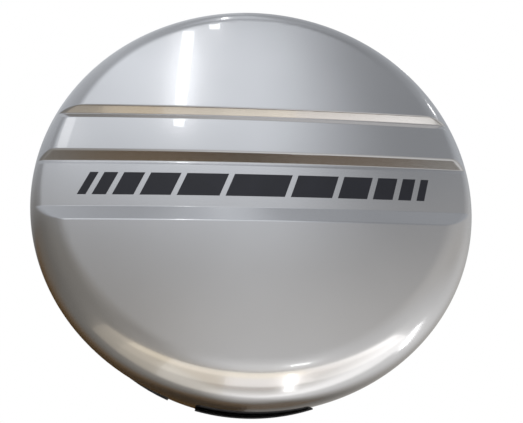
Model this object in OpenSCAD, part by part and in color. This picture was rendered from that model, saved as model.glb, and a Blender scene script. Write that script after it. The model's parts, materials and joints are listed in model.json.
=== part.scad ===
// Hard cover for a rear-hung spare wheel.
// Frame: +Z up, the painted face looks towards -Y, +X to the right of a person facing it.
// The origin is the centre of the carrier bracket's rear mounting face.

/* [Cover] */
// Diameter over the black rear lip
overall_d = 820; // [812:2:832]
// Depth from the bracket's mounting face to the crown of the face
depth = 240; // [236:1:246]
// Radius of the gently domed face
dome_r = 8000; // [7600:50:8400]
// Radius of the rounded shoulder between face and wall
shoulder_r = 74; // [70:1:78]
// Draft of the side wall, degrees
wall_draft = 2.4; // [2:0.1:3]
// Thickness of the moulded shell
skin_t = 3.5; // [3:0.25:4]

/* [Face grooves] */
// Height of the upper groove's top edge
groove1_top = 102.5; // [101:0.5:105]
// Height of the upper groove's root
groove1_root = 92; // [90:0.5:94]
// Height of the upper groove's lower edge
groove1_low = 78.5; // [76:0.5:81]
// Depth of the upper groove below the dome
groove1_depth = 11.8; // [10:0.1:14]
// Depth of the band between the grooves
band_depth = 4.6; // [3:0.1:6]
// Height of the lower groove's top edge
groove2_top = 11; // [9:0.5:13]
// Height of the lower groove's root
groove2_root = -4; // [-6:0.5:-2]
// Height where the lower groove meets the recessed panel
groove2_low = -12; // [-14:0.5:-10]
// Depth of the lower groove below the dome
groove2_depth = 16.4; // [15:0.1:18]
// Depth of the recessed panel below the dome
panel_depth = 14.3; // [12:0.1:15]
// Height of the panel's lower crease
bevel_top = -91; // [-94:0.5:-88]
// Height where the bevel runs out into the lower dome
bevel_low = -120; // [-124:0.5:-117]

/* [Carrier bracket] */
// Thickness of the bracket's steel plate
plate_t = 4; // [3:0.5:5]
// Diameter of the clearance hole for the carrier's hub
hub_bore_d = 160; // [150:2:170]
// Diameter of the bolt circle
bolt_circle_d = 220; // [214:2:226]
// Diameter of each bolt hole, for M10
bolt_hole_d = 11; // [10.5:0.5:12]
// Width of each arm
arm_w = 46; // [42:1:52]

/* [Lock] */
// Diameter of the lock's plug
plug_d = 14; // [13:0.5:15]
// Reach of the locking cam from the plug's axis
cam_reach = 17; // [16:0.5:18]

/* [Hidden] */
$fn = 96;

fit = 0.1;          // radial clearance of a shank in its hole
touch = 0.15;       // gap left between bonded faces
over = 1;           // how far a cut runs past the face it opens

// Shell outline. Radii are from the cover's axis; depths run forward from the mounting face.
lip_r = overall_d / 2;
wall_rear_h = 12;
wall_rear_r = lip_r - 3;
wall_lean = 6.3;    // how far the wall leans in between its rear edge and the shoulder
shoulder_in_r = wall_rear_r - wall_lean - shoulder_r * cos(wall_draft);
dome_centre_h = depth - dome_r;
shoulder_h = sqrt(pow(dome_r - shoulder_r, 2) - pow(shoulder_in_r, 2)) + dome_centre_h;
cone_slope = 10;    // the drum closes over the dome as a flat cone
sector = 9.9;       // part turn about the dome's upright axis that spans the face
dome_fn = 1440;     // the dome is so large that a quarter degree is still 35 mm

// Depth below the dome at each height, from the upper groove down to the bevel. The steep
// upper walls of the back face move up by a share of the inset, to keep the skin's thickness.
wall_shift = 0.55;
function recess_steps(inset) = let (up = inset * wall_shift) [
    [groove1_top + up, 0], [groove1_root + up, groove1_depth], [groove1_low, band_depth],
    [groove2_top + up, band_depth], [groove2_root + up, groove2_depth],
    [groove2_low, panel_depth], [bevel_top, panel_depth], [bevel_low, 0]
];

// Rear ring: lip, web and inner flange
flange_h = 6;
flange_t = 4;
web_out_r = lip_r - 9;
web_in_r = web_out_r - 4;
web_top_h = 22;
seat_h = 14;
seat_t = 4;
seat_in_r = lip_r - 38;
lip_t = 5;
seat_top_h = seat_h + seat_t;
seal_gap = 0.45;
notch_w = 7.6;      // degrees of the drain notch on each side of the guard
ring_rib_every = 15;
ring_rib_t = 2;
lock_zone = 30;     // degrees either side of the lowest point without ribs

// Fixings all sit on one circle
fixing_r = lip_r - 24;
arm_angles = [45, 135, 225, 315];
stud_angles = [20, 65, 115, 160, 245, 295];
pin_angles = [90, 204, 336];

// Bracket arms
hub_r = 150;
arm_step_r = 348;
arm_step_h = 8;
arm_end_r = web_in_r - 3;
arm_root = 22;      // how far an arm overlaps the hub plate
rib_t = 3;
rib_h = 13;
hub_collar_t = 4;
light_hole_r = 12;
light_hole_at = [190, 236, 282, 322];
hole_gap = 0.5;
bush_t = seat_h - arm_step_h - plate_t;
bush_r = 10;
washer_r = 9;

// Fasteners
m8_r = 4;
m8_af = 13;
m8_head_t = 5.3;
m8_tip_h = 0.5;
m8_nut_t = 6.5;
m6_r = 3;
m6_af = 10;
m6_nut_t = 5;
washer_t = 1.6;
ball_r = 5;
ball_h = seat_top_h + 11;
ball_neck_r = 2.8;
ball_flange_t = 2.5;
pin_r = 4;
pin_flange_r = 8;
pin_flange_t = 2;
pin_taper = 4;
pin_tip_h = 42;

// Inner rim, bonded into the wall
rim_h = 28;
rim_t = 6;
rim_in_r = lip_r - 15;
rim_skirt_h = 58;
rim_skirt_t = 2.5;
lug_r = 13;
clip_r = 9;
clip_nose = 3;      // how far a clip stands out behind the rim
clip_slit = 2;
slit_w = 1.6;
socket_r = 7;
socket_nose = 2;
collar_w = 2.2;
collar_t = 1.5;
mouth_gap = 0.4;

// Anti-rattle pads
pad_circle_r = 290;
pad_angles = [40, 90, 140, 220, 270, 320];
pad_r = 26;
pad_t = 12;

// Lock, at the lowest point, its axis upright
plug_r = plug_d / 2;
lock_h = 9;
plug_low = -lip_r + 4;
housing_top = -lip_r + 26;
cam_top = housing_top + 8;
cam_t = 3;
cam_w = 8;
cam_shaft_r = 3;
cam_nut_t = 3.5;
key_slot = [2.2, 8];
key_deep = 8;
housing_wall = 2.5;
housing_low = -lip_r + lip_t + 1;
housing_rear_h = 1;
foot_w = 50;
foot_t = 3.6;
foot_tall = 10.5;
pocket_low = housing_low - 0.2;
pocket_gap = 1;
pocket_top_h = 29;
notch_top_h = lock_h + plug_r + 1.5;
striker_x = [10.3, 25];
striker_t = 2.6;
striker_leg = -lip_r + 19;
striker_rear_h = 1.6;
striker_foot_t = 2.5;
striker_edge = 3.2; // metal between a rivet's axis and the foot's end
rivet_inset = 3.4;
rivet_r = 2;
rivet_head_r = 3;
rivet_head_t = 1.4;
striker_rivet_r = rim_in_r + 0.4;

// Lower guard on the ring, and the scuff strip that carries its line forward on the shell
guard_out_r = lip_r + 0.6;
guard_in_r = wall_rear_r + 0.75;
guard_low_h = 0.5;
guard_h = 22;
guard_edge = 0.8;
guard_reach = 15;   // degrees either side of the lowest point
guard_screw_x = 19;
guard_screw_h = 5.5;
screw_r = 2;
screw_gap = 0.2;
screw_len = 12;
screw_sunk = 2;
screw_head_r = 3.5;
screw_head_t = 1.7;
screw_hex = 3;
scuff_h = guard_h + 1.5;
scuff_t = 2.2;
scuff_turn = 11;    // how far round the shoulder the strip reaches, in degrees
scuff_offset = 1.35; // the strip sits this many degrees left of the lowest point
scuff_rear_w = 194;
scuff_front_w = 170;
scuff_tip_t = 0.9;  // thickness where it runs out on the shoulder
scuff_steps = 3;

// Dust cap
cap_w = 20;
cap_tall = 14.2;
cap_t = 1.6;
cap_sunk = 0.4;     // how far the closed cap lies below the guard's face
cap_gap = 0.5;
cap_hinge_h = 3.4;
cap_hinge_z = -guard_out_r + 1.85;
cap_pin_r = 0.8;
cap_pin_out = 2.5;  // how far the pin reaches past the cap on each side
cap_pin_gap = 0.05;
cap_knuckle_r = 1.5;
window_h = [1.2, 18.8];
window_deep = 3.5;

// Trim stripes on the recessed panel
stripe_lengths = [14, 23, 35, 51, 71, 100, 71, 51, 35, 23, 14];
stripe_gap = 10;
stripe_low = -70;
stripe_tall = 42;
stripe_slant = 20;
stripe_t = 0.4;
film_gap = 0.05;

// Turns a shape drawn in the face plane, with its depth as Z, to look towards -Y
module facing() rotate([90, 0, 0]) children();

// Repeats a shape at the given angles on a circle, its X axis pointing outward
module around(r, angles) for (a = angles) rotate(a) translate([r, 0, 0]) children();

module tube(r_out, r_in, h) difference() {
    cylinder(r = r_out, h = h);
    translate([0, 0, -over]) cylinder(r = r_in, h = h + 2 * over);
}

module hex_prism(across_flats, h) cylinder(r = across_flats / sqrt(3), h = h, $fn = 6);

module nut(across_flats, thread_r, h) difference() {
    hex_prism(across_flats, h);
    translate([0, 0, -over]) cylinder(r = thread_r + fit / 2, h = h + 2 * over);
}

function wall_r(h, inset) =
    shoulder_in_r + (shoulder_r - inset) * cos(wall_draft)
    + (shoulder_h + (shoulder_r - inset) * sin(wall_draft) - h) * tan(wall_draft);

function dome_rho(z) = sqrt(pow(dome_r, 2) - pow(z, 2));

function sum(v, n) = n <= 0 ? 0 : v[n - 1] + sum(v, n - 1);

// Point on the shoulder's arc, an angle up from level
function shoulder_point(a, inset) = let (r = shoulder_r - inset)
    [shoulder_in_r + r * cos(a), shoulder_h + r * sin(a)];

// Side wall, shoulder and a flat cone that closes above the dome
module drum(inset, rear_h) {
    arc_end = shoulder_point(90 - cone_slope, inset);
    arc = [for (i = [0 : 12])
        shoulder_point(wall_draft + (90 - cone_slope - wall_draft) * i / 12, inset)];
    facing() rotate_extrude() polygon(concat(
        [[0, rear_h], [wall_r(rear_h, inset), rear_h]], arc,
        [[0, arc_end[1] + arc_end[0] * tan(cone_slope)]]
    ));
}

// The domed face with its level grooves, as a part turn about an upright axis. Its circle is
// turned so that it starts at the upper groove's edge, the face's foremost point.
module domed_face(inset) {
    translate([0, -dome_centre_h, 0]) rotate(270 - sector / 2)
        rotate_extrude(angle = sector, $fn = dome_fn) difference() {
            intersection() {
                rotate(asin(groove1_top / dome_r)) circle(r = dome_r - inset, $fn = dome_fn);
                translate([dome_r - 2 * depth, -overall_d]) square([3 * depth, 2 * overall_d]);
            }
            translate([-inset, 0]) polygon(concat(
                [for (s = recess_steps(inset)) [dome_rho(s[0]) - s[1], s[0]]],
                [[dome_r + depth, bevel_low], [dome_r + depth, groove1_top + inset * wall_shift]]
            ));
        }
}

module face_form(inset, rear_h = wall_rear_h) intersection() {
    drum(inset, rear_h);
    domed_face(inset);
}

module outer_shell() color([0.78, 0.79, 0.80]) difference() {
    face_form(0);
    face_form(skin_t, wall_rear_h - 2 * over);
    facing() translate([-plug_r - housing_wall, -lip_r - over, 0])
        cube([plug_d + 2 * housing_wall, lip_r - rim_in_r + 2 * over, notch_top_h]);
}

module stripe(length) polygon([
    [0, 0], [length, 0],
    [length + stripe_tall * tan(stripe_slant), stripe_tall],
    [stripe_tall * tan(stripe_slant), stripe_tall]
]);

module trim_stripes() {
    count = len(stripe_lengths);
    run = sum(stripe_lengths, count) + (count - 1) * stripe_gap;
    start = -(run + stripe_tall * tan(stripe_slant)) / 2;
    color([0.12, 0.13, 0.18]) intersection() {
        difference() {
            domed_face(-stripe_t);
            domed_face(-film_gap);
        }
        facing() for (i = [0 : count - 1])
            translate([start + sum(stripe_lengths, i) + i * stripe_gap, stripe_low, depth / 2])
                linear_extrude(depth / 2) stripe(stripe_lengths[i]);
    }
}

module rim_profile() polygon([
    [rim_in_r, rim_h], [wall_r(rim_h, skin_t + touch), rim_h],
    [wall_r(rim_skirt_h, skin_t + touch), rim_skirt_h],
    [wall_r(rim_skirt_h, skin_t + touch) - rim_skirt_t, rim_skirt_h],
    [wall_r(rim_h + rim_t, skin_t + touch) - rim_skirt_t, rim_h + rim_t],
    [rim_in_r, rim_h + rim_t]
]);

module rim_lug() {
    cylinder(r = lug_r, h = rim_t);
    translate([0, -lug_r, 0]) cube([rim_in_r - fixing_r + 3, 2 * lug_r, rim_t]);
}

module inner_rim() color([0.20, 0.20, 0.21]) facing() difference() {
    union() {
        rotate_extrude() rim_profile();
        translate([0, 0, rim_h]) around(fixing_r, concat(stud_angles, pin_angles)) rim_lug();
        translate([striker_x[0] - over, -rim_in_r - over, rim_h])
            cube([striker_x[1] - striker_x[0] + 2 * over, striker_leg + rim_in_r, rim_t]);
    }
    translate([0, 0, rim_h - over]) {
        around(fixing_r, stud_angles) cylinder(r = clip_r + fit, h = rim_t + 2 * over);
        around(fixing_r, pin_angles) cylinder(r = socket_r + fit, h = rim_t + 2 * over);
        for (x = striker_x) translate([striker_rivet_x(x), -striker_rivet_r, 0])
            cylinder(r = rivet_r + fit, h = rim_t + 2 * over);
    }
}

// Split nylon sleeve that snaps over a ball stud
module stud_clip() difference() {
    union() {
        translate([0, 0, rim_h - clip_nose])
            cylinder(r = clip_r, h = clip_nose + rim_t + collar_t);
        translate([0, 0, rim_h + rim_t]) cylinder(r = clip_r + collar_w, h = collar_t);
    }
    translate([0, 0, rim_h - clip_nose - over])
        cylinder(r = ball_r + mouth_gap, h = clip_nose + rim_t + collar_t + 2 * over);
    for (a = [0, 90]) rotate(a)
        translate([-clip_r - over, -slit_w / 2, rim_h - clip_nose - over])
            cube([2 * (clip_r + over), slit_w, clip_slit + over]);
}

module stud_clips() color([0.90, 0.89, 0.84]) facing() around(fixing_r, stud_angles) stud_clip();

module guide_sockets() color([0.90, 0.89, 0.84]) facing() around(fixing_r, pin_angles)
    difference() {
        union() {
            translate([0, 0, rim_h - socket_nose]) cylinder(r = socket_r, h = rim_t + socket_nose);
            translate([0, 0, rim_h + rim_t]) cylinder(r = socket_r + collar_w, h = collar_t);
        }
        translate([0, 0, rim_h - socket_nose - over])
            cylinder(r = pin_r + mouth_gap, h = socket_nose + rim_t + collar_t + 2 * over);
    }

function striker_rivet_x(x) = x + (x == striker_x[0] ? rivet_inset : -rivet_inset);

// Hook that the locking cam closes in front of
module striker() color([0.72, 0.73, 0.75]) facing() {
    w = striker_x[1] - striker_x[0];
    difference() {
        translate([striker_x[0], 0, 0]) {
            foot_low = -striker_rivet_r - striker_edge;
            leg_h = rim_h + rim_t + striker_foot_t - striker_rear_h;
            translate([0, foot_low, rim_h + rim_t])
                cube([w, striker_leg + striker_t - foot_low, striker_foot_t]);
            translate([0, striker_leg, striker_rear_h]) cube([w, striker_t, leg_h]);
            translate([0, striker_leg, striker_rear_h]) cube([w, cam_top - striker_leg, striker_t]);
        }
        for (x = striker_x) translate([striker_rivet_x(x), -striker_rivet_r, rim_h])
            cylinder(r = rivet_r + fit, h = rim_t + striker_foot_t + over);
    }
}

module striker_rivets() color([0.66, 0.67, 0.69]) facing()
    for (x = striker_x) translate([striker_rivet_x(x), -striker_rivet_r, rim_h]) {
        cylinder(r = rivet_r, h = rim_t + striker_foot_t);
        for (h = [-rivet_head_t, rim_t + striker_foot_t]) translate([0, 0, h])
            cylinder(r = rivet_head_r, h = rivet_head_t);
    }

// Foam pads bonded to the back of the face, each square to the dome where it stands
module tyre_pads() {
    seat_rho = sqrt(pow(dome_r - skin_t - 2 * touch, 2) - pow(pad_r, 2));
    color([0.16, 0.16, 0.17]) facing() translate([0, 0, dome_centre_h]) for (a = pad_angles)
        rotate(a) rotate([0, asin(pad_circle_r / dome_r), 0]) translate([0, 0, seat_rho - pad_t])
            cylinder(r = pad_r, h = pad_t);
}

module bracket_arm() {
    translate([hub_r - arm_root, -arm_w / 2, 0]) cube([arm_step_r - hub_r + arm_root, arm_w, plate_t]);
    translate([arm_step_r - plate_t, -arm_w / 2, 0]) cube([plate_t, arm_w, arm_step_h + plate_t]);
    translate([arm_step_r - plate_t, -arm_w / 2, arm_step_h])
        cube([arm_end_r - arm_w / 2 - arm_step_r + plate_t, arm_w, plate_t]);
    translate([arm_end_r - arm_w / 2, 0, arm_step_h]) cylinder(r = arm_w / 2, h = plate_t);
    for (s = [-1, 1]) translate([hub_r - arm_root, s * (arm_w - rib_t) / 2 - rib_t / 2, 0])
        cube([arm_step_r - hub_r + arm_root, rib_t, rib_h]);
}

module carrier_bracket() color([0.13, 0.13, 0.14]) facing() difference() {
    union() {
        cylinder(r = hub_r, h = plate_t);
        tube(hub_bore_d / 2 + hub_collar_t, hub_bore_d / 2 - over, rib_h - over);
        for (a = arm_angles) rotate(a) bracket_arm();
    }
    translate([0, 0, -over]) {
        cylinder(r = hub_bore_d / 2, h = rib_h + 2 * over);
        around(bolt_circle_d / 2, [0, 90, 180, 270])
            cylinder(d = bolt_hole_d, h = plate_t + 2 * over);
        around(fixing_r, arm_angles) cylinder(r = m8_r + hole_gap, h = seat_top_h);
        for (r = light_hole_at) around(r, arm_angles)
            cylinder(r = light_hole_r, h = plate_t + 2 * over);
    }
}

module ring_profile() polygon([
    [lip_r, 0], [lip_r, flange_h + flange_t], [web_out_r, flange_h + flange_t],
    [web_out_r, web_top_h], [web_in_r, web_top_h], [web_in_r, seat_top_h],
    [seat_in_r, seat_top_h], [seat_in_r, seat_h], [web_in_r, seat_h],
    [web_in_r, flange_h], [lip_r - lip_t, flange_h], [lip_r - lip_t, 0]
]);

// Annular cut over part of a turn, centred on an angle
module sector_cut(middle, width, r_in, r_out, h_from, h_to) rotate(middle - width / 2)
    rotate_extrude(angle = width) translate([r_in, h_from]) square([r_out - r_in, h_to - h_from]);

// The two drain notches in the lip, beside the guard
module notch_cuts(h_from, h_to) for (s = [-1, 1])
    sector_cut(270 + s * (guard_reach + notch_w / 2), notch_w,
        wall_rear_r - skin_t, lip_r + over, h_from, h_to);

module rear_ring() color([0.10, 0.10, 0.11]) facing() difference() {
    union() {
        rotate_extrude() ring_profile();
        for (a = [ring_rib_every : ring_rib_every : 360]) if (abs(a - 270) > lock_zone) rotate(a)
            translate([web_out_r - over, -ring_rib_t / 2, 1])
                cube([lip_r - lip_t - web_out_r + 2 * over, ring_rib_t, flange_h]);
    }
    notch_cuts(-over, flange_h + flange_t + over);
    sector_cut(270, 2 * guard_reach, guard_in_r - touch, lip_r + over,
        -over, flange_h + flange_t + over);
    translate([0, 0, seat_h - over]) {
        around(fixing_r, arm_angles) cylinder(r = m8_r + hole_gap, h = seat_t + 2 * over);
        around(fixing_r, concat(stud_angles, pin_angles))
            cylinder(r = m6_r + fit, h = seat_t + 2 * over);
    }
    lock_pocket();
}

// Room in the ring for the lock housing, the cam's sweep and the striker
module lock_pocket() {
    side = plug_r + housing_wall + hole_gap;
    deep = pocket_top_h + over;
    foot_pocket();
    translate([-side, pocket_low, -over]) cube([2 * side, lip_r - seat_in_r + over, deep]);
    translate([-side, striker_leg - over, -over])
        cube([side + striker_x[1] + 2 * over, lip_r - seat_in_r, deep]);
    lock_bore(plug_r + hole_gap);
    guard_screw_holes(screw_r + screw_gap);
    cap_pocket();
}

// Room for the housing's foot behind the web
module foot_pocket() translate([-foot_w / 2 - pocket_gap, pocket_low, -over])
    cube([foot_w + 2 * pocket_gap, lip_r - web_in_r + over, wall_rear_h + over]);

module lock_bore(r) translate([0, -lip_r - over, lock_h]) rotate([-90, 0, 0])
    cylinder(r = r, h = lip_r - seat_in_r);

module guard_screw_holes(r) for (s = [-1, 1])
    translate([s * guard_screw_x, -guard_out_r - over, guard_screw_h]) rotate([-90, 0, 0])
        cylinder(r = r, h = screw_sunk + screw_len + 2 * over);

module arm_bushes() color([0.07, 0.07, 0.07]) facing() translate([0, 0, arm_step_h + plate_t])
    around(fixing_r, arm_angles) tube(bush_r, m8_r + fit, bush_t);

module arm_washers() color([0.70, 0.71, 0.72]) facing() translate([0, 0, seat_top_h])
    around(fixing_r, arm_angles) tube(washer_r, m8_r + fit, washer_t);

module arm_bolts() color([0.70, 0.71, 0.72]) facing() around(fixing_r, arm_angles) {
    translate([0, 0, seat_top_h + washer_t]) hex_prism(m8_af, m8_head_t);
    translate([0, 0, m8_tip_h]) cylinder(r = m8_r, h = seat_top_h + washer_t - m8_tip_h);
}

module arm_nuts() color([0.70, 0.71, 0.72]) facing() around(fixing_r, arm_angles)
    translate([0, 0, arm_step_h - m8_nut_t]) nut(m8_af, m8_r, m8_nut_t);

module edge_seal() color([0.06, 0.06, 0.06]) facing() difference() {
    rotate_extrude() translate([web_out_r + seal_gap, flange_h + flange_t])
        square([wall_rear_r - web_out_r - 2 * seal_gap, wall_rear_h - flange_h - flange_t - seal_gap]);
    notch_cuts(0, wall_rear_h);
    lock_bore(plug_r + hole_gap);
    foot_pocket();
}

module guide_pin() {
    translate([0, 0, seat_h]) cylinder(r = m6_r, h = seat_t);
    translate([0, 0, seat_top_h]) cylinder(r = pin_flange_r, h = pin_flange_t);
    translate([0, 0, seat_top_h + pin_flange_t])
        cylinder(r = pin_r, h = pin_tip_h - pin_taper - seat_top_h - pin_flange_t);
    translate([0, 0, pin_tip_h - pin_taper]) cylinder(r1 = pin_r, r2 = pin_r / 2, h = pin_taper);
}

module guide_pins() color([0.74, 0.75, 0.76]) facing() around(fixing_r, pin_angles) guide_pin();

module ball_stud() {
    shank = m6_nut_t + over;
    translate([0, 0, seat_h - shank]) cylinder(r = m6_r, h = shank + seat_t);
    translate([0, 0, seat_top_h]) hex_prism(m8_af, ball_flange_t);
    translate([0, 0, seat_top_h + ball_flange_t])
        cylinder(r = ball_neck_r, h = ball_h - seat_top_h - ball_flange_t);
    translate([0, 0, ball_h]) sphere(r = ball_r);
}

module ball_studs() color([0.74, 0.75, 0.76]) facing() around(fixing_r, stud_angles) ball_stud();

module stud_nuts() color([0.70, 0.71, 0.72]) facing() around(fixing_r, stud_angles)
    translate([0, 0, seat_h - m6_nut_t]) nut(m6_af, m6_r, m6_nut_t);

module lower_guard() color([0.08, 0.08, 0.09]) facing() difference() {
    rotate(270 - guard_reach) rotate_extrude(angle = 2 * guard_reach) polygon([
        [guard_in_r, guard_low_h], [guard_out_r - guard_edge, guard_low_h],
        [guard_out_r, guard_low_h + guard_edge], [guard_out_r, guard_h - guard_edge],
        [guard_out_r - guard_edge, guard_h], [guard_in_r, guard_h]
    ]);
    guard_screw_holes(screw_r + screw_gap);
    for (s = [-1, 1]) translate([s * guard_screw_x, -guard_out_r - over, guard_screw_h])
        rotate([-90, 0, 0]) cylinder(r = screw_head_r + hole_gap, h = screw_sunk + over);
    cap_pocket();
}

// Cylinder along the dust cap's hinge line, reaching past the cap on both sides
module cap_hinge(r, reach) translate([-cap_w / 2 - reach, cap_hinge_z, cap_hinge_h])
    rotate([0, 90, 0]) cylinder(r = r, h = cap_w + 2 * reach);

// Window for the dust cap, with its hinge pin's hole
module cap_pocket() {
    translate([-cap_w / 2 - cap_gap, -guard_out_r - over, window_h[0]])
        cube([cap_w + 2 * cap_gap, window_deep + over, window_h[1] - window_h[0]]);
    cap_hinge(cap_knuckle_r + cap_gap, cap_gap);
    cap_hinge(cap_pin_r, cap_pin_out + cap_gap);
}

// Black strip bonded under the shell's wall, from the guard round into the shoulder. It
// narrows towards the front.
module scuff_strip() color([0.08, 0.08, 0.09]) facing() rotate(-scuff_offset) intersection() {
    rotate(270 - guard_reach) rotate_extrude(angle = 2 * guard_reach) polygon(concat(
        [[wall_r(scuff_h, -touch), scuff_h], [wall_r(scuff_h, -scuff_t), scuff_h]],
        [for (i = [0 : scuff_steps]) scuff_point(i, i < scuff_steps ? scuff_t : scuff_tip_t)],
        [for (i = [scuff_steps : -1 : 0]) scuff_point(i, touch)]
    ));
    rotate([90, 0, 0]) linear_extrude(overall_d) polygon([
        [-scuff_rear_w / 2, scuff_h - over], [scuff_rear_w / 2, scuff_h - over],
        [scuff_front_w / 2, scuff_front_h], [-scuff_front_w / 2, scuff_front_h]
    ]);
}

scuff_front_h = scuff_point(scuff_steps, scuff_tip_t)[1] + over;

function scuff_point(i, lift) = shoulder_point(wall_draft + scuff_turn * i / scuff_steps, -lift);

module cap_hinge_pin() color([0.74, 0.75, 0.76]) facing()
    cap_hinge(cap_pin_r - cap_pin_gap, cap_pin_out);

module dust_cap() color([0.08, 0.08, 0.09]) facing() difference() {
    union() {
        translate([-cap_w / 2, -guard_out_r + cap_sunk, cap_hinge_h])
            cube([cap_w, cap_t, cap_tall]);
        cap_hinge(cap_knuckle_r, 0);
    }
    cap_hinge(cap_pin_r + cap_pin_gap, over);
}

module guard_screws() color([0.74, 0.75, 0.76]) facing() for (s = [-1, 1])
    translate([s * guard_screw_x, -guard_out_r + screw_sunk, guard_screw_h]) rotate([-90, 0, 0]) {
        difference() {
            translate([0, 0, -screw_head_t]) cylinder(r = screw_head_r, h = screw_head_t);
            translate([0, 0, -screw_head_t - over]) hex_prism(screw_hex, over + screw_head_t / 2);
        }
        cylinder(r = screw_r, h = screw_len);
    }

module lock_housing() color([0.60, 0.61, 0.62]) facing() difference() {
    union() {
        translate([-plug_r - housing_wall, housing_low, housing_rear_h]) cube(
            [plug_d + 2 * housing_wall, housing_top - housing_low, 2 * (lock_h - housing_rear_h)]);
        translate([-foot_w / 2, housing_low, guard_low_h]) cube([foot_w, foot_t, foot_tall]);
    }
    lock_bore(plug_r + fit / 2);
    guard_screw_holes(screw_r + fit);
}

module lock_plug() color([0.76, 0.76, 0.77]) facing() translate([0, 0, lock_h]) rotate([-90, 0, 0])
    difference() {
        union() {
            translate([0, 0, plug_low]) cylinder(r = plug_r, h = cam_top - cam_t - plug_low);
            translate([0, 0, cam_top - cam_t]) cylinder(r = cam_shaft_r, h = cam_t + cam_nut_t + over);
        }
        translate([-key_slot[0] / 2, -key_slot[1] / 2, plug_low - over])
            cube([key_slot[0], key_slot[1], key_deep + over]);
    }

module lock_cam() color([0.72, 0.73, 0.75]) facing() translate([0, cam_top - cam_t, lock_h])
    rotate([-90, 0, 0]) difference() {
        union() {
            cylinder(r = plug_r + hole_gap, h = cam_t);
            translate([-cam_w / 2, -cam_reach, 0]) cube([cam_w, cam_reach, cam_t]);
        }
        translate([0, 0, -over]) cylinder(r = cam_shaft_r + fit / 2, h = cam_t + 2 * over);
    }

module cam_nut() color([0.70, 0.71, 0.72]) facing() translate([0, cam_top, lock_h])
    rotate([-90, 0, 0]) nut(m6_af, cam_shaft_r, cam_nut_t);

carrier_bracket();
rear_ring();
arm_bushes();
arm_washers();
arm_bolts();
arm_nuts();
edge_seal();
guide_pins();
ball_studs();
stud_nuts();
lower_guard();
guard_screws();
lock_housing();
lock_plug();
lock_cam();
cam_nut();
dust_cap();
cap_hinge_pin();
outer_shell();
trim_stripes();
scuff_strip();
inner_rim();
stud_clips();
guide_sockets();
striker();
striker_rivets();
tyre_pads();
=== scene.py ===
"""The looks of a painted spare tire cover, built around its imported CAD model.

Every piece is in metres in the CAD frame: +Z up, the painted face looks towards -Y.
Shapes are worked out in face coordinates: x to the right, up, and h forward (h = -Y).
"""

import json
import math

import bmesh
import bpy
import numpy as np
from mathutils import Matrix, Vector


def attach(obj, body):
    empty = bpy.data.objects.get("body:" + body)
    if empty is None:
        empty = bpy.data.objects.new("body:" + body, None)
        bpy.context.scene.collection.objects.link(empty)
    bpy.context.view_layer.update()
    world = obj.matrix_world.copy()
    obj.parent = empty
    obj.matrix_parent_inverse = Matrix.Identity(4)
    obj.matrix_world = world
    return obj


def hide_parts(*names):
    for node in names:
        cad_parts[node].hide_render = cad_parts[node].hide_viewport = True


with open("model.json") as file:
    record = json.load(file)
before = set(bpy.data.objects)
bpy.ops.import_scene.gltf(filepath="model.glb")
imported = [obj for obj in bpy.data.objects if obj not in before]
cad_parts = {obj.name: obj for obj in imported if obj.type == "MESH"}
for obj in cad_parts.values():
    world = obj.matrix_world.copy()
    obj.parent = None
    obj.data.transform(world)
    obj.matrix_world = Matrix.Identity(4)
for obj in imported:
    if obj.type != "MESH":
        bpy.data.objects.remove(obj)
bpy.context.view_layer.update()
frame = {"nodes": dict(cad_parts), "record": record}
NODES = frame["nodes"]
MM = 0.001

# The cover's outline, as in the CAD source
LIP_R = 410 * MM
DEPTH = 240 * MM
DOME_R = 8000 * MM
SHOULDER_R = 74 * MM
DRAFT = math.radians(2.4)
SKIN = 3.5 * MM
WALL_REAR_H = 12 * MM
WALL_REAR_R = LIP_R - 3 * MM
SHOULDER_X = WALL_REAR_R - 6.3 * MM - SHOULDER_R * math.cos(DRAFT)
DOME_H = DEPTH - DOME_R
SHOULDER_H = math.sqrt((DOME_R - SHOULDER_R) ** 2 - SHOULDER_X ** 2) + DOME_H

# The face's section from the upper groove down to the bevel: height, depth, corner radius, in mm
GROOVES = [(102.5, 0, 4.5), (92, 11.8, 1.6), (78.5, 4.6, 4), (11, 4.6, 8),
           (-4, 16.4, 2.2), (-12, 14.3, 2), (-91, 14.3, 3), (-120, 0, 9)]
WALL_SHIFT = 0.55
NOTCH_HALF_W = 9.5 * MM
NOTCH_H = 17.5 * MM

# The scuff strip under the wall: it narrows forward and sits slightly left of the lowest point
STRIP_REAR_W = 194 * MM
STRIP_FRONT_W = 170 * MM
STRIP_OFFSET = math.radians(1.35)
STRIP_FROM_H = 23.5 * MM
STRIP_T = 2.2 * MM
STRIP_TURN = math.radians(11)


# ---------------------------------------------------------------- mesh building

def to_world(x, up, h):
    return np.stack(np.broadcast_arrays(x, -np.asarray(h), up), -1)


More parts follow.
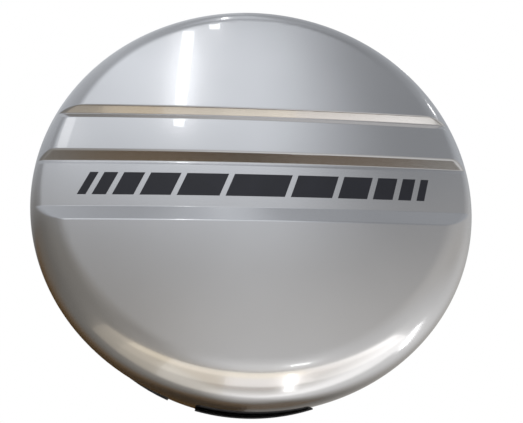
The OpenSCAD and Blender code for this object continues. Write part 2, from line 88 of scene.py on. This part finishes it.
class Surface:
    """Gathers grids of points with their own normals into one mesh."""

    def __init__(self):
        self.points, self.normals, self.faces, self.flat = [], [], [], []

    def add(self, points, normals):
        start = len(self.points)
        self.points.extend(map(tuple, np.reshape(points, (-1, 3))))
        self.normals.extend(map(tuple, np.reshape(normals, (-1, 3))))
        return np.arange(start, len(self.points)).reshape(np.shape(points)[:-1])

    def face(self, *corners, flat=False):
        self.faces.append([int(c) for c in corners])
        self.flat.append(flat)

    def grid(self, index, flip=False):
        for a, b in zip(index[:-1], index[1:]):
            self.strip(a, b, flip)

    def strip(self, a, b, flip=False):
        for i in range(len(a) - 1):
            quad = (a[i], a[i + 1], b[i + 1], b[i])
            self.face(*(quad[::-1] if flip else quad))

    def build(self, name):
        mesh = bpy.data.meshes.new(name)
        mesh.from_pydata(self.points, [], self.faces)
        mesh.polygons.foreach_set("use_smooth", [not f for f in self.flat])
        split = []
        for poly, flat in zip(mesh.polygons, self.flat):
            for v in poly.vertices:
                split.append(tuple(poly.normal) if flat else self.normals[v])
        mesh.normals_split_custom_set(split)
        obj = bpy.data.objects.new(name, mesh)
        bpy.context.scene.collection.objects.link(obj)
        return obj


def rounded(points, steps=5):
    """A polyline of (height, depth, radius) with its corners rounded.
    Returns rows of height, depth and slope, from the top down."""
    rows = []
    for i, (z, d, radius) in enumerate(points):
        here = Vector((z, d))
        before = Vector(points[i - 1][:2]) if i else Vector((z + 10 * MM, d))
        after = Vector(points[i + 1][:2]) if i + 1 < len(points) else Vector((z - 10 * MM, d))
        into, out = (here - before).normalized(), (after - here).normalized()
        turn = into.angle_signed(out)
        reach = radius * math.tan(abs(turn) / 2)
        side = Vector((-into.y, into.x)) * (-1 if turn > 0 else 1)
        centre = here - into * reach + side * radius
        for k in range(steps + 1):
            turned = Matrix.Rotation(-turn * k / steps, 2)
            spot = centre + turned @ (-side * radius)
            way = turned @ into
            rows.append((spot.x, spot.y, way.y / way.x))
    return rows


def plain_rows(inset):
    """Height, depth below the dome and slope of the rows the face's grid needs."""
    edge_r = SHOULDER_X + (SHOULDER_R - inset) * math.cos(DRAFT)
    section = []
    for i, (z, d, radius) in enumerate(GROOVES):
        up = inset * WALL_SHIFT if i in (0, 1, 3, 4) else 0
        section.append((z * MM + up, d * MM, radius * MM))
    rows = rounded(section)
    turns = np.radians(np.linspace(84, math.degrees(DRAFT), 26))
    edge = SHOULDER_X + (SHOULDER_R - inset) * np.cos(turns)
    notch_z = math.sqrt(edge_r ** 2 - NOTCH_HALF_W ** 2)
    edge = np.array(sorted(list(edge[edge < notch_z - 0.05 * MM]) + [notch_z, edge_r]))
    return [(z, 0, 0) for z in edge[::-1]] + rows + [(-z, 0, 0) for z in edge]


def face_rows(inset):
    """The same rows with more between them, as many on the inside as on the outside."""
    rows, guide = plain_rows(inset), plain_rows(0)
    filled = [rows[0]]
    for row, upper, lower in zip(rows[1:], guide, guide[1:]):
        last = filled[-1]
        extra = int(max((upper[0] - lower[0]) / (7 * MM), abs(upper[1] - lower[1]) / (1 * MM)))
        for k in range(1, extra + 1):
            t = k / (extra + 1)
            slope = (row[1] - last[1]) / (row[0] - last[0])
            filled.append((last[0] + (row[0] - last[0]) * t, last[1] + (row[1] - last[1]) * t, slope))
        filled.append(row)
    return filled


def face_height(x, z, depth, slope, inset):
    """Forward height of the face and its normal, where a row of the recess meets the shoulder."""
    r = np.hypot(x, z)
    small, big = SHOULDER_R - inset, DOME_R - inset
    over = np.clip(r - SHOULDER_X, 0, small * math.cos(DRAFT))
    round_h = SHOULDER_H + np.sqrt(small ** 2 - over ** 2)
    dome_h = DOME_H + np.sqrt(big ** 2 - r ** 2)
    on_dome = r < SHOULDER_X * big / (DOME_R - SHOULDER_R)
    plain_h = np.where(on_dome, dome_h, round_h)
    plain_slope = np.where(on_dome, -r / (dome_h - DOME_H), -over / (round_h - SHOULDER_H))
    scale = plain_slope / np.maximum(r, 1e-9)
    plain_x, plain_z = scale * x, scale * z
    if depth <= 0:
        h, hx, hz = plain_h, plain_x, plain_z
    else:
        rho = np.sqrt(DOME_R ** 2 - z ** 2) - depth - inset
        reach = np.sqrt(rho ** 2 - x ** 2)
        cut_h = DOME_H + reach
        cut_x = -x / reach
        cut_z = rho * (-z / (rho + depth + inset) - slope) / reach
        blend = min(5 * MM, 0.5 * depth)
        gap = (plain_h - cut_h) / blend
        share = np.clip(0.5 + 0.5 * gap, 0, 1)
        h = np.minimum(plain_h, cut_h) - blend * np.maximum(1 - np.abs(gap), 0) ** 2 / 4
        hx = share * cut_x + (1 - share) * plain_x
        hz = share * cut_z + (1 - share) * plain_z
    normal = to_world(-hx, -hz, np.ones_like(h))
    return h, normal / np.linalg.norm(normal, axis=-1, keepdims=True)


def wall_r(h, inset):
    start = SHOULDER_H + (SHOULDER_R - inset) * math.sin(DRAFT)
    return SHOULDER_X + (SHOULDER_R - inset) * math.cos(DRAFT) + (start - h) * math.tan(DRAFT)


def skin(surface, inset, flip):
    """One side of the moulding: the face's grid and the wall's rings. Returns the rings."""
    edge_r = SHOULDER_X + (SHOULDER_R - inset) * math.cos(DRAFT)
    side = 1 if inset == 0 else -1
    turns = np.radians(np.linspace(87, math.degrees(DRAFT), 30))
    outer = (SHOULDER_X + (SHOULDER_R - inset) * np.cos(turns)) / edge_r
    half = np.concatenate([np.linspace(0, outer[0], 42)[:-1], outer])
    across = np.concatenate([-half[:0:-1], half])
    rows = face_rows(inset)
    index = []
    for z, depth, slope in rows:
        width = math.sqrt(max(edge_r ** 2 - z ** 2, 0))
        x = across * width if width > 1e-6 else np.zeros(1)
        h, normal = face_height(x, np.full_like(x, z), depth, slope, inset)
        index.append(surface.add(to_world(x, z, h), side * normal))
    surface.grid(index[1:-1], flip)
    for pole, row, turn in ((index[0][0], index[1], flip), (index[-1][0], index[-2], not flip)):
        for a, b in zip(row[:-1], row[1:]):
            surface.face(*((pole, b, a) if turn else (pole, a, b)))
    loop = np.array([index[0][0]] + [i[-1] for i in index[1:-1]] + [index[-1][0]]
                    + [i[0] for i in index[-2:0:-1]])
    spots = np.array(surface.points)[loop]
    angle = np.arctan2(spots[:, 2], spots[:, 0])
    rings = [loop]
    start = SHOULDER_H + (SHOULDER_R - inset) * math.sin(DRAFT)
    heights = list(np.linspace(start, NOTCH_H, 12)[1:]) + [WALL_REAR_H + 0.5 * MM, WALL_REAR_H]
    for h in heights:
        at_edge = h == WALL_REAR_H
        r = wall_r(h, inset) - (side * 0.5 * MM if at_edge else 0)
        lean = np.array([math.cos(DRAFT), math.sin(DRAFT)]) * side
        if at_edge:
            lean = np.array([0.3 * side, -0.95])
        normal = to_world(lean[0] * np.cos(angle), lean[0] * np.sin(angle), lean[1])
        normal /= np.linalg.norm(normal, axis=-1, keepdims=True)
        rings.append(surface.add(to_world(r * np.cos(angle), r * np.sin(angle), h), normal))
    return rings


def outer_shell():
    """The painted moulding, 3.5 mm thick, with rounded groove edges and the lock's notch.
    Also returns 1 for each face of its bare inside and 0 for the painted ones."""
    surface = Surface()
    outside = skin(surface, 0, True)
    bare = [0] * len(surface.faces)
    inside = skin(surface, SKIN, False)
    bare += [1] * (len(surface.faces) - len(bare))
    count = len(outside[0])
    low = int(np.argmin(np.array(surface.points)[outside[0]][:, 2]))
    in_notch = {(low - 1) % count, low}
    notch_row = len(outside) - 3
    for rings, flip, side in ((outside, True, 0), (inside, False, 1)):
        for k, (a, b) in enumerate(zip(rings[:-1], rings[1:])):
            for i in range(count):
                if k >= notch_row and i in in_notch:
                    continue
                j = (i + 1) % count
                quad = (a[i], a[j], b[j], b[i])
                surface.face(*(quad if flip else quad[::-1]))
        bare += [side] * (len(surface.faces) - len(bare))
    for i in range(count):
        j = (i + 1) % count
        row = notch_row if i in in_notch else -1
        surface.face(outside[row][i], outside[row][j], inside[row][j], inside[row][i],
                     flat=i in in_notch)
    first, last = (low - 1) % count, (low + 1) % count
    for k in range(notch_row, len(outside) - 1):
        for i, turn in ((first, False), (last, True)):
            quad = (outside[k][i], inside[k][i], inside[k + 1][i], outside[k + 1][i])
            surface.face(*(quad[::-1] if turn else quad), flat=True)
    return surface.build("shell"), bare + [0] * (len(surface.faces) - len(bare))


def scuff_strip():
    """The black strip under the wall: rounded corners, and edges that ease down to the paint."""
    surface = Surface()
    wall_len = (SHOULDER_H + SHOULDER_R * math.sin(DRAFT) - STRIP_FROM_H) / math.cos(DRAFT)
    total = wall_len + SHOULDER_R * STRIP_TURN
    corner, ease, margin = 9 * MM, 3.2 * MM, 0.2 * MM

    def section(s):
        """Radius, height and lean of the wall at a distance from the strip's rear edge."""
        if s < wall_len:
            h = STRIP_FROM_H + s * math.cos(DRAFT)
            return wall_r(h, 0), h, DRAFT
        lean = DRAFT + (s - wall_len) / SHOULDER_R
        return SHOULDER_X + SHOULDER_R * math.cos(lean), SHOULDER_H + SHOULDER_R * math.sin(lean), lean

    def place(s, angle, lift):
        r, h, lean = section(s)
        n_r, n_h = math.cos(lean), math.sin(lean)
        turn = angle - STRIP_OFFSET
        point = to_world((r + n_r * lift) * np.sin(turn), -(r + n_r * lift) * np.cos(turn), h + n_h * lift)
        return point, to_world(n_r * np.sin(turn), -n_r * np.cos(turn), np.full_like(turn, n_h))

    s_rows = np.concatenate([ease_steps(margin, corner, 9), np.linspace(corner, total - corner, 26)[1:-1],
                             ease_steps(total - margin, total - corner, 9)[::-1]])
    u = np.concatenate([ease_steps(-1, -0.955, 7), np.linspace(-0.955, 0.955, 40)[1:-1],
                        ease_steps(1, 0.955, 7)[::-1]])
    top, under = [], []
    for s in s_rows:
        near = min(s, total - s)
        cut = corner - math.sqrt(corner ** 2 - (corner - near) ** 2) if near < corner else 0
        half_w = (STRIP_REAR_W + (STRIP_FRONT_W - STRIP_REAR_W) * s / total) / 2 - cut - margin
        radius = section(s)[0]
        angle = u * math.asin(half_w / radius)
        inward = np.minimum((1 - np.abs(u)) * half_w, near)
        edge = np.clip(inward / ease, 0, 1)
        lift = margin + (STRIP_T - 0.3 * MM - margin) * np.sqrt(1 - (1 - edge) ** 2)
        points, normals = place(s, angle, lift)
        top.append(surface.add(points, normals))
        under.append(surface.add(place(s, angle, margin / 2)[0], -normals))
    surface.grid(top, True)
    surface.grid(under, False)
    rims = [list(rows[0]) + [row[-1] for row in rows[1:-1]] + list(rows[-1][::-1])
            + [row[0] for row in rows[-2:0:-1]] for rows in (top, under)]
    for i in range(len(rims[0])):
        j = (i + 1) % len(rims[0])
        surface.face(rims[0][i], rims[0][j], rims[1][j], rims[1][i], flat=True)
    obj = surface.build("scuff_rail")
    obj.data.normals_split_custom_set([(0, 0, 0)] * len(obj.data.loops))
    return obj


def ease_steps(start, end, count):
    """Steps that start small and grow, for a rounded edge."""
    return start + (end - start) * (1 - np.cos(np.linspace(0, math.pi / 2, count)))


def bevelled(name, width, segments=2):
    """A copy of a CAD node with its edges rounded, to stand for the node."""
    source = NODES[name].data
    work = bmesh.new()
    for v in source.vertices:
        work.verts.new(v.co)
    work.verts.ensure_lookup_table()
    for poly in source.polygons:
        corners = [work.verts[i] for i in poly.vertices]
        if work.faces.get(corners) is None:
            work.faces.new(corners)
    bmesh.ops.remove_doubles(work, verts=work.verts, dist=0.002 * MM)
    bmesh.ops.dissolve_limit(work, angle_limit=math.radians(0.4), verts=work.verts, edges=work.edges)
    mesh = bpy.data.meshes.new(name + "_mesh")
    work.to_mesh(mesh)
    work.free()
    for poly in mesh.polygons:
        poly.use_smooth = True
    obj = bpy.data.objects.new(name + "_piece", mesh)
    bpy.context.scene.collection.objects.link(obj)
    bevel = obj.modifiers.new("edges", "BEVEL")
    bevel.width = width
    bevel.segments = segments
    bevel.limit_method = "ANGLE"
    bevel.angle_limit = math.radians(32)
    bevel.harden_normals = True
    bevel.miter_outer = "MITER_ARC"
    bpy.context.view_layer.update()
    shaped = bpy.data.meshes.new_from_object(obj.evaluated_get(bpy.context.evaluated_depsgraph_get()))
    obj.modifiers.clear()
    obj.data = shaped
    return obj


# ---------------------------------------------------------------- materials

class Shader:
    """A material's node tree, with short calls to add and join nodes."""

    def __init__(self, name, colour, roughness, metallic=0.0):
        self.material = bpy.data.materials.new(name)
        self.material.use_nodes = True
        self.tree = self.material.node_tree
        self.bsdf = self.tree.nodes["Principled BSDF"]
        self.set("Base Color", (*colour, 1))
        self.set("Roughness", roughness)
        self.set("Metallic", metallic)
        self.coords = self.tree.nodes.new("ShaderNodeTexCoord").outputs["Object"]

    def set(self, socket, value):
        self.bsdf.inputs[socket].default_value = value

    def link(self, output, node, socket):
        self.tree.links.new(output, node.inputs[socket])

    def noise(self, scale, detail=3, stretch=(1, 1, 1)):
        mapping = self.tree.nodes.new("ShaderNodeMapping")
        mapping.inputs["Scale"].default_value = stretch
        self.link(self.coords, mapping, "Vector")
        node = self.tree.nodes.new("ShaderNodeTexNoise")
        node.inputs["Scale"].default_value = scale
        node.inputs["Detail"].default_value = detail
        self.link(mapping.outputs[0], node, "Vector")
        return node.outputs["Fac"]

    def cells(self, scale, output="Distance"):
        node = self.tree.nodes.new("ShaderNodeTexVoronoi")
        node.inputs["Scale"].default_value = scale
        self.link(self.coords, node, "Vector")
        return node.outputs[output]

    def spread(self, value, low, high, low_at=0.3, high_at=0.7):
        node = self.tree.nodes.new("ShaderNodeMapRange")
        node.inputs["From Min"].default_value = low_at
        node.inputs["From Max"].default_value = high_at
        node.inputs["To Min"].default_value = low
        node.inputs["To Max"].default_value = high
        self.link(value, node, "Value")
        return node.outputs["Result"]

    def tint(self, value, dark, light):
        node = self.tree.nodes.new("ShaderNodeMix")
        node.data_type = "RGBA"
        node.inputs["A"].default_value = (*dark, 1)
        node.inputs["B"].default_value = (*light, 1)
        self.link(value, node, "Factor")
        return node.outputs["Result"]

    def bump(self, height, depth, strength=1.0, onto=None):
        node = self.tree.nodes.new("ShaderNodeBump")
        node.inputs["Strength"].default_value = strength
        node.inputs["Distance"].default_value = depth
        self.link(height, node, "Height")
        if onto is not None:
            self.link(onto, node, "Normal")
        return node.outputs["Normal"]

    def feed(self, socket, output):
        self.link(output, self.bsdf, socket)


def shade(colour, factor):
    return tuple(c * factor for c in colour)


def silver_paint(colour):
    """Metallic base coat with fine flakes, under a clear coat with a trace of orange peel."""
    s = Shader("silver_paint", colour, 0.3, 0.97)
    flakes = s.tree.nodes.new("ShaderNodeRGBToBW")
    s.link(s.cells(900, "Color"), flakes, "Color")
    cloud = s.spread(s.noise(7, 2), 0, 1)
    s.feed("Base Color", s.tint(cloud, shade(colour, 0.975), shade(colour, 1.025)))
    s.feed("Roughness", s.spread(flakes.outputs[0], 0.18, 0.23, 0, 1))
    s.feed("Normal", s.bump(flakes.outputs[0], 0.01 * MM, 0.02))
    s.set("Coat Weight", 1.0)
    s.set("Coat Roughness", 0.03)
    s.set("Coat IOR", 2.1)
    s.feed("Coat Normal", s.bump(s.noise(120, 1), 0.05 * MM, 0.05))
    return s.material


def black_trim(colour):
    s = Shader("black_trim", colour, 0.32)
    s.feed("Roughness", s.spread(s.noise(60, 2), 0.28, 0.36))
    s.feed("Base Color", s.tint(s.noise(25, 2), shade(colour, 0.8), shade(colour, 1.3)))
    s.feed("Normal", s.bump(s.noise(500, 2), 0.02 * MM, 0.3))
    return s.material


def grained(name, colour, roughness, grain=650, depth=0.06):
    """Moulded plastic with a fine spark-eroded grain."""
    s = Shader(name, colour, roughness)
    s.feed("Base Color", s.tint(s.noise(30, 4), shade(colour, 0.85), shade(colour, 1.25)))
    s.feed("Roughness", s.spread(s.noise(90, 3), roughness - 0.06, roughness + 0.08))
    rough = s.bump(s.noise(grain, 3), depth * MM, 0.6)
    s.feed("Normal", s.bump(s.cells(grain * 0.6), depth * MM, 0.4, rough))
    return s.material


def nylon(colour):
    return grained("nylon", colour, 0.42, 400, 0.03)


def black_steel(colour):
    s = Shader("black_steel", colour, 0.38)
    s.feed("Base Color", s.tint(s.noise(18, 5), shade(colour, 0.8), shade(colour, 1.5)))
    s.feed("Roughness", s.spread(s.noise(40, 4), 0.32, 0.46))
    s.feed("Normal", s.bump(s.noise(260, 2), 0.06 * MM, 0.35))
    s.set("Coat Weight", 0.25)
    s.set("Coat Roughness", 0.2)
    return s.material


def zinc_steel(colour):
    s = Shader("zinc_steel", colour, 0.3, 1.0)
    s.feed("Base Color", s.tint(s.noise(45, 3), shade(colour, 0.85), shade(colour, 1.08)))
    s.feed("Roughness", s.spread(s.noise(120, 3, (1, 1, 6)), 0.24, 0.40))
    s.feed("Normal", s.bump(s.noise(420, 2, (1, 1, 5)), 0.015 * MM, 0.5))
    return s.material


def die_cast(colour):
    s = Shader("die_cast", colour, 0.5, 1.0)
    s.feed("Base Color", s.tint(s.noise(60, 4), shade(colour, 0.85), shade(colour, 1.1)))
    s.feed("Roughness", s.spread(s.noise(150, 3), 0.42, 0.58))
    s.feed("Normal", s.bump(s.noise(600, 3), 0.03 * MM, 0.6))
    return s.material


def rubber(colour):
    s = Shader("rubber", colour, 0.7)
    s.feed("Base Color", s.tint(s.noise(50, 4), shade(colour, 0.8), shade(colour, 1.6)))
    s.feed("Roughness", s.spread(s.noise(110, 3), 0.6, 0.78))
    s.feed("Normal", s.bump(s.noise(800, 3), 0.03 * MM, 0.6))
    return s.material


def foam(colour):
    s = Shader("foam", colour, 0.92)
    s.feed("Base Color", s.tint(s.noise(90, 4), shade(colour, 0.6), shade(colour, 1.4)))
    pores = s.bump(s.cells(450), 0.5 * MM, 0.8)
    s.feed("Normal", s.bump(s.noise(300, 3), 0.3 * MM, 0.6, pores))
    return s.material


RECIPES = {
    "silver_paint": silver_paint, "black_trim": black_trim, "nylon": nylon,
    "black_plastic": lambda c: grained("black_plastic", c, 0.48),
    "grey_plastic": lambda c: grained("grey_plastic", c, 0.5, 500),
    "black_steel": black_steel, "zinc_steel": zinc_steel, "die_cast": die_cast,
    "rubber": rubber, "foam": foam,
}
MATERIALS = {m["slot"]: RECIPES[m["slot"]](m["base_color"]) for m in frame["record"]["materials"]}
SLOTS = {p["node"]: p["material_slot"] for p in frame["record"]["subparts"]}
BODIES = {n: b for b, names in frame["record"]["behaviour"]["bodies"].items() for n in names}


def stand_in(obj, node):
    """Gives a piece its node's material and body, and hides the node."""
    obj.data.materials.clear()
    obj.data.materials.append(MATERIALS[SLOTS[node]])
    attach(obj, BODIES[node])
    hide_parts(node)
    return obj


# ---------------------------------------------------------------- pieces

shell, bare_faces = outer_shell()
stand_in(shell, "outer_shell")
shell.data.materials.append(MATERIALS["grey_plastic"])
shell.data.polygons.foreach_set("material_index", bare_faces)
stand_in(scuff_strip(), "scuff_strip")

EDGE_WIDTHS = {
    "carrier_bracket": 0.6, "rear_ring": 0.6, "arm_bushes": 0.5, "arm_washers": 0.25,
    "arm_bolts": 0.4, "arm_nuts": 0.4, "edge_seal": 0.3, "guide_pins": 0.3, "ball_studs": 0.3,
    "stud_nuts": 0.4, "lower_guard": 0.5, "guard_screws": 0.25, "lock_housing": 0.7,
    "lock_plug": 0.3, "lock_cam": 0.4, "cam_nut": 0.4, "dust_cap": 0.4, "cap_hinge_pin": 0.15,
    "inner_rim": 0.5, "stud_clips": 0.3, "guide_sockets": 0.3, "striker": 0.4,
    "striker_rivets": 0.4, "tyre_pads": 2.0,
}
for node_name, edge in EDGE_WIDTHS.items():
    piece = stand_in(bevelled(node_name, edge * MM), node_name)

for node_name, node_obj in NODES.items():
    for material_slot in node_obj.material_slots:
        material_slot.material = MATERIALS[SLOTS[node_name]]


# ---------------------------------------------------------------- camera

CAMERA_AT = Vector((-0.04497, -0.86039, -0.39256))
PAN, TILT, ROLL = 0.07439, 0.43317, -0.0128
FOCAL_PIXELS, IMAGE_W, SENSOR_W = 424.13, 523, 36


def camera():
    ahead = Vector((math.sin(PAN) * math.cos(TILT), math.cos(PAN) * math.cos(TILT), math.sin(TILT)))
    right = ahead.cross(Vector((0, 0, 1))).normalized()
    above = right.cross(ahead)
    rolled = math.cos(ROLL) * right + math.sin(ROLL) * above
    above = rolled.cross(ahead)
    data = bpy.data.cameras.new("camera")
    data.sensor_fit = "HORIZONTAL"
    data.sensor_width = SENSOR_W
    data.lens = SENSOR_W * FOCAL_PIXELS / IMAGE_W
    obj = bpy.data.objects.new("camera", data)
    obj.matrix_world = Matrix.Translation(CAMERA_AT) @ Matrix((rolled, above, -ahead)).transposed().to_4x4()
    bpy.context.scene.collection.objects.link(obj)
    bpy.context.scene.camera = obj


camera()


# ---------------------------------------------------------------- stage and light

FLOOR_SIZE, FLOOR_Z = 16, -1.15
BACK_LIGHT_AT, BACK_LIGHT_SIZE, BACK_LIGHT_POWER = (0.6, 2.4, 1.4), (2.0, 2.0), 45


def floor():
    bpy.ops.mesh.primitive_plane_add(size=FLOOR_SIZE, location=(0, 0, FLOOR_Z))
    obj = bpy.context.object
    obj.name = "floor"
    s = Shader("floor_paint", (0.86, 0.86, 0.86), 0.8)
    s.feed("Base Color", s.tint(s.noise(1.5, 3), (0.84, 0.84, 0.84), (0.88, 0.88, 0.875)))
    obj.data.materials.append(s.material)
    obj.visible_glossy = False


def soft_light(name, place, aim, size, power, colour=(1, 1, 1), along=(0, 0, 1)):
    """A rectangular light that faces its aim, with its second side along a direction."""
    data = bpy.data.lights.new(name, "AREA")
    data.shape = "RECTANGLE"
    data.size, data.size_y = size
    data.energy = power
    data.color = colour
    back = (Vector(place) - Vector(aim)).normalized()
    side = Vector(along).cross(back).normalized()
    obj = bpy.data.objects.new(name, data)
    turned = Matrix((side, back.cross(side), back)).transposed().to_4x4()
    obj.matrix_world = Matrix.Translation(place) @ turned
    obj.visible_camera = False
    bpy.context.scene.collection.objects.link(obj)
    return obj


def glow(name, centre, aim, size, radiance, colour=(1, 1, 1), along=(0, 0, 1)):
    """A flat light of the given radiance, so its reflection is equally bright at any size."""
    return soft_light(name, centre, aim, size, radiance * math.pi * size[0] * size[1], colour, along)


# Brightness of the room in the object's reflections: azimuth from straight ahead of the face,
# then (elevation, brightness) from the floor up. Tuned by comparing renders, so it is not a
# plain studio: the gold and brown in the grooves are this room's and the ground's, not the paint's
ROOM = [
    (-150, [(-90, 0.70), (-80, 0.42), (-68, 0.08), (-50, 0.02), (5, 0.04), (40, 0.60), (90, 0.50)]),
    (-95, [(-90, 0.70), (-72, 0.26), (-40, 0.20), (-10, 0.13), (8, 0.13), (35, 0.46), (60, 0.52),
           (90, 0.34)]),
    (-48, [(-90, 0.75), (-70, 0.26), (-40, 0.25), (-10, 0.20), (8, 0.20), (30, 0.34), (55, 0.46),
           (90, 0.34)]),
    (-24, [(-90, 0.80), (-74, 0.16), (-65, 0.08), (-34, 0.08), (-26, 0.36), (-8, 0.26), (8, 0.30),
           (18, 0.40), (33, 0.74), (46, 0.97), (54, 0.68), (59, 0.36), (64, 0.36), (70, 0.58), (80, 0.54),
           (90, 0.34)]),
    (3, [(-90, 0.80), (-74, 0.14), (-65, 0.03), (-33, 0.03), (-25, 0.78), (-16, 0.80), (-3, 0.62),
         (14, 0.50), (26, 0.66), (40, 0.88), (52, 0.84), (58, 0.45), (63, 0.45), (69, 0.68), (80, 0.66),
         (90, 0.34)]),
    (30, [(-90, 0.80), (-74, 0.16), (-65, 0.09), (-34, 0.09), (-26, 0.66), (-10, 0.60), (5, 0.48),
          (16, 0.34), (30, 0.26), (46, 0.28), (60, 0.26), (70, 0.42), (90, 0.34)]),
    (75, [(-90, 0.85), (-60, 0.80), (-20, 0.68), (0, 0.44), (20, 0.44), (50, 0.34), (90, 0.34)]),
    (105, [(-90, 0.85), (-60, 0.70), (-25, 0.74), (-10, 0.62), (10, 0.50), (30, 0.46), (90, 0.34)]),
    (150, [(-90, 0.70), (-80, 0.42), (-68, 0.10), (-50, 0.10), (0, 0.40), (40, 0.40), (90, 0.46)]),
]


def sky():
    """White behind the object; in its reflections, a room that varies in brightness and tint."""
    world = bpy.data.worlds.new("room")
    world.use_nodes = True
    nodes, links = world.node_tree.nodes, world.node_tree.links
    nodes.clear()

    def add(kind, *sources, **settings):
        node = nodes.new("ShaderNode" + kind)
        for key, value in settings.items():
            setattr(node, key, value)
        for i, source in enumerate(sources):
            if isinstance(source, bpy.types.NodeSocket):
                links.new(source, node.inputs[i])
            elif source is not None:
                node.inputs[i].default_value = source
        return node

    def column(stops):
        node = add("ValToRGB", height)
        ramp = node.color_ramp
        while len(ramp.elements) < len(stops):
            ramp.elements.new(0.5)
        for element, (elevation, bright) in zip(ramp.elements, stops):
            element.position = (elevation + 90) / 180
            element.color = (bright, bright, bright, 1)
        return node.outputs["Color"]

    way = add("SeparateXYZ", add("TexCoord").outputs["Generated"]).outputs
    rise = add("Math", way["Z"], operation="ARCSINE").outputs[0]
    height = add("Math", rise, 1 / math.pi, 0.5, operation="MULTIPLY_ADD").outputs[0]
    ahead = add("Math", way["Y"], -1.0, operation="MULTIPLY").outputs[0]
    turn = add("Math", way["X"], ahead, operation="ARCTAN2").outputs[0]
    bright = column(ROOM[0][1])
    for (start, _), (end, stops) in zip(ROOM, ROOM[1:]):
        share = add("MapRange", turn, math.radians(start), math.radians(end), 0.0, 1.0,
                    interpolation_type="SMOOTHSTEP").outputs["Result"]
        mixed = add("Mix", data_type="RGBA")
        for socket, source in (("Factor", share), ("A", bright), ("B", column(stops))):
            links.new(source, mixed.inputs[socket])
        bright = mixed.outputs["Result"]
    warmth = add("ValToRGB", bright)
    tints = warmth.color_ramp.elements
    tints.new(0.14)
    for element, position, tone in zip(tints, (0.05, 0.14, 0.6),
                                       ((1.6, 0.95, 0.4), (1.05, 0.98, 0.88), (1.0, 0.99, 0.98))):
        element.position = position
        element.color = (*tone, 1)
    cool = add("MapRange", height, 0.53, 0.66, 0.0, 1.0).outputs["Result"]
    tint = add("Mix", data_type="RGBA")
    for socket, source in (("Factor", cool), ("A", warmth.outputs["Color"])):
        links.new(source, tint.inputs[socket])
    tint.inputs["B"].default_value = (0.955, 0.99, 1.045, 1)
    colour = add("Mix", data_type="RGBA", blend_type="MULTIPLY")
    colour.inputs["Factor"].default_value = 1.0
    for socket, source in (("A", bright), ("B", tint.outputs["Result"])):
        links.new(source, colour.inputs[socket])
    room = add("Background", colour.outputs["Result"], 1.0)
    white = add("Background", (1, 1, 1, 1), 1.0)
    seen = add("LightPath").outputs["Is Camera Ray"]
    mix = add("MixShader", seen, room.outputs[0], white.outputs[0])
    add("OutputWorld", mix.outputs[0])
    bpy.context.scene.world = world


floor()
sky()
# Pale ground under the cover: columns from left to right, with the radiance and tint of the
# strips from front to rear. It is dimmer and more golden towards the left
GROUND_Z = -0.64
GROUND_Y = (-0.72, -0.54, -0.36, -0.21)
WARM, SOFT, PALE = (1.0, 0.87, 0.66), (1.0, 0.93, 0.81), (1.0, 0.975, 0.95)
GROUND = [
    (-0.85, -0.58, (0.26, 0.20, 0.18), (WARM, WARM, WARM)),
    (-0.58, -0.34, (0.70, 0.34, 0.24), (WARM, WARM, WARM)),
    (-0.34, -0.10, (0.96, 0.66, 0.42), (SOFT, SOFT, SOFT)),
    (-0.10, 0.20, (1.12, 1.00, 0.48), (SOFT, PALE, PALE)),
    (0.20, 0.80, (1.04, 0.80, 0.46), (PALE, PALE, PALE)),
]
for start, end, radiances, tints in GROUND:
    for front, rear, radiance, tint in zip(GROUND_Y, GROUND_Y[1:], radiances, tints):
        middle = ((start + end) / 2, (front + rear) / 2, GROUND_Z)
        glow("ground", middle, (middle[0], middle[1], 0), (end - start, rear - front),
             radiance, tint, (0, 1, 0))

# Lamps and windows that the clear coat mirrors: centre, aim, size, radiance, long direction
UPPER_FACE, LOWER_FACE = (-0.14, -0.235, 0.17), (0.05, -0.23, -0.36)
LAMPS = {
    "tube": ((-0.56, -2.34, 2.23), UPPER_FACE, (0.105, 0.95), 2.4, (0.1, 0.55, 0.83)),
    "lamp_front": ((-0.27, -2.03, 2.70), UPPER_FACE, (0.10, 0.09), 3.0, (0, 1, 1)),
    "lamp_above": ((-0.095, -0.339, 0.716), (-0.069, -0.231, 0.336), (0.02, 0.06), 3.5, (0, 1, 0)),
    "window_left": ((-1.17, -1.68, 1.14), UPPER_FACE, (0.07, 0.30), 1.0, (0, 0, 1)),
    "lamp_right": ((2.13, -0.45, 1.83), (0.33, -0.23, 0.12), (0.13, 0.16), 5.0, (0, 0, 1)),
    "low_strip": ((0.121, -0.44, -0.635), (0.121, -0.44, 0), (0.024, 0.34), 2.6, (-0.13, 1, 0)),
    "low_streak": ((0.273, -1.15, -0.66), LOWER_FACE, (0.11, 0.035), 4.0, (0, 0, 1)),
    "low_right": ((1.08, -0.235, -0.79), (0.23, -0.22, -0.30), (0.06, 0.32), 4.5, (0.1, -0.25, 0.165)),
}
for lamp, (centre, aim, size, radiance, along) in LAMPS.items():
    glow(lamp, centre, aim, size, radiance, (1, 1, 1), along)
soft_light("back", BACK_LIGHT_AT, (0, 0, 0), BACK_LIGHT_SIZE, BACK_LIGHT_POWER)
bpy.context.scene.view_settings.view_transform = "Standard"
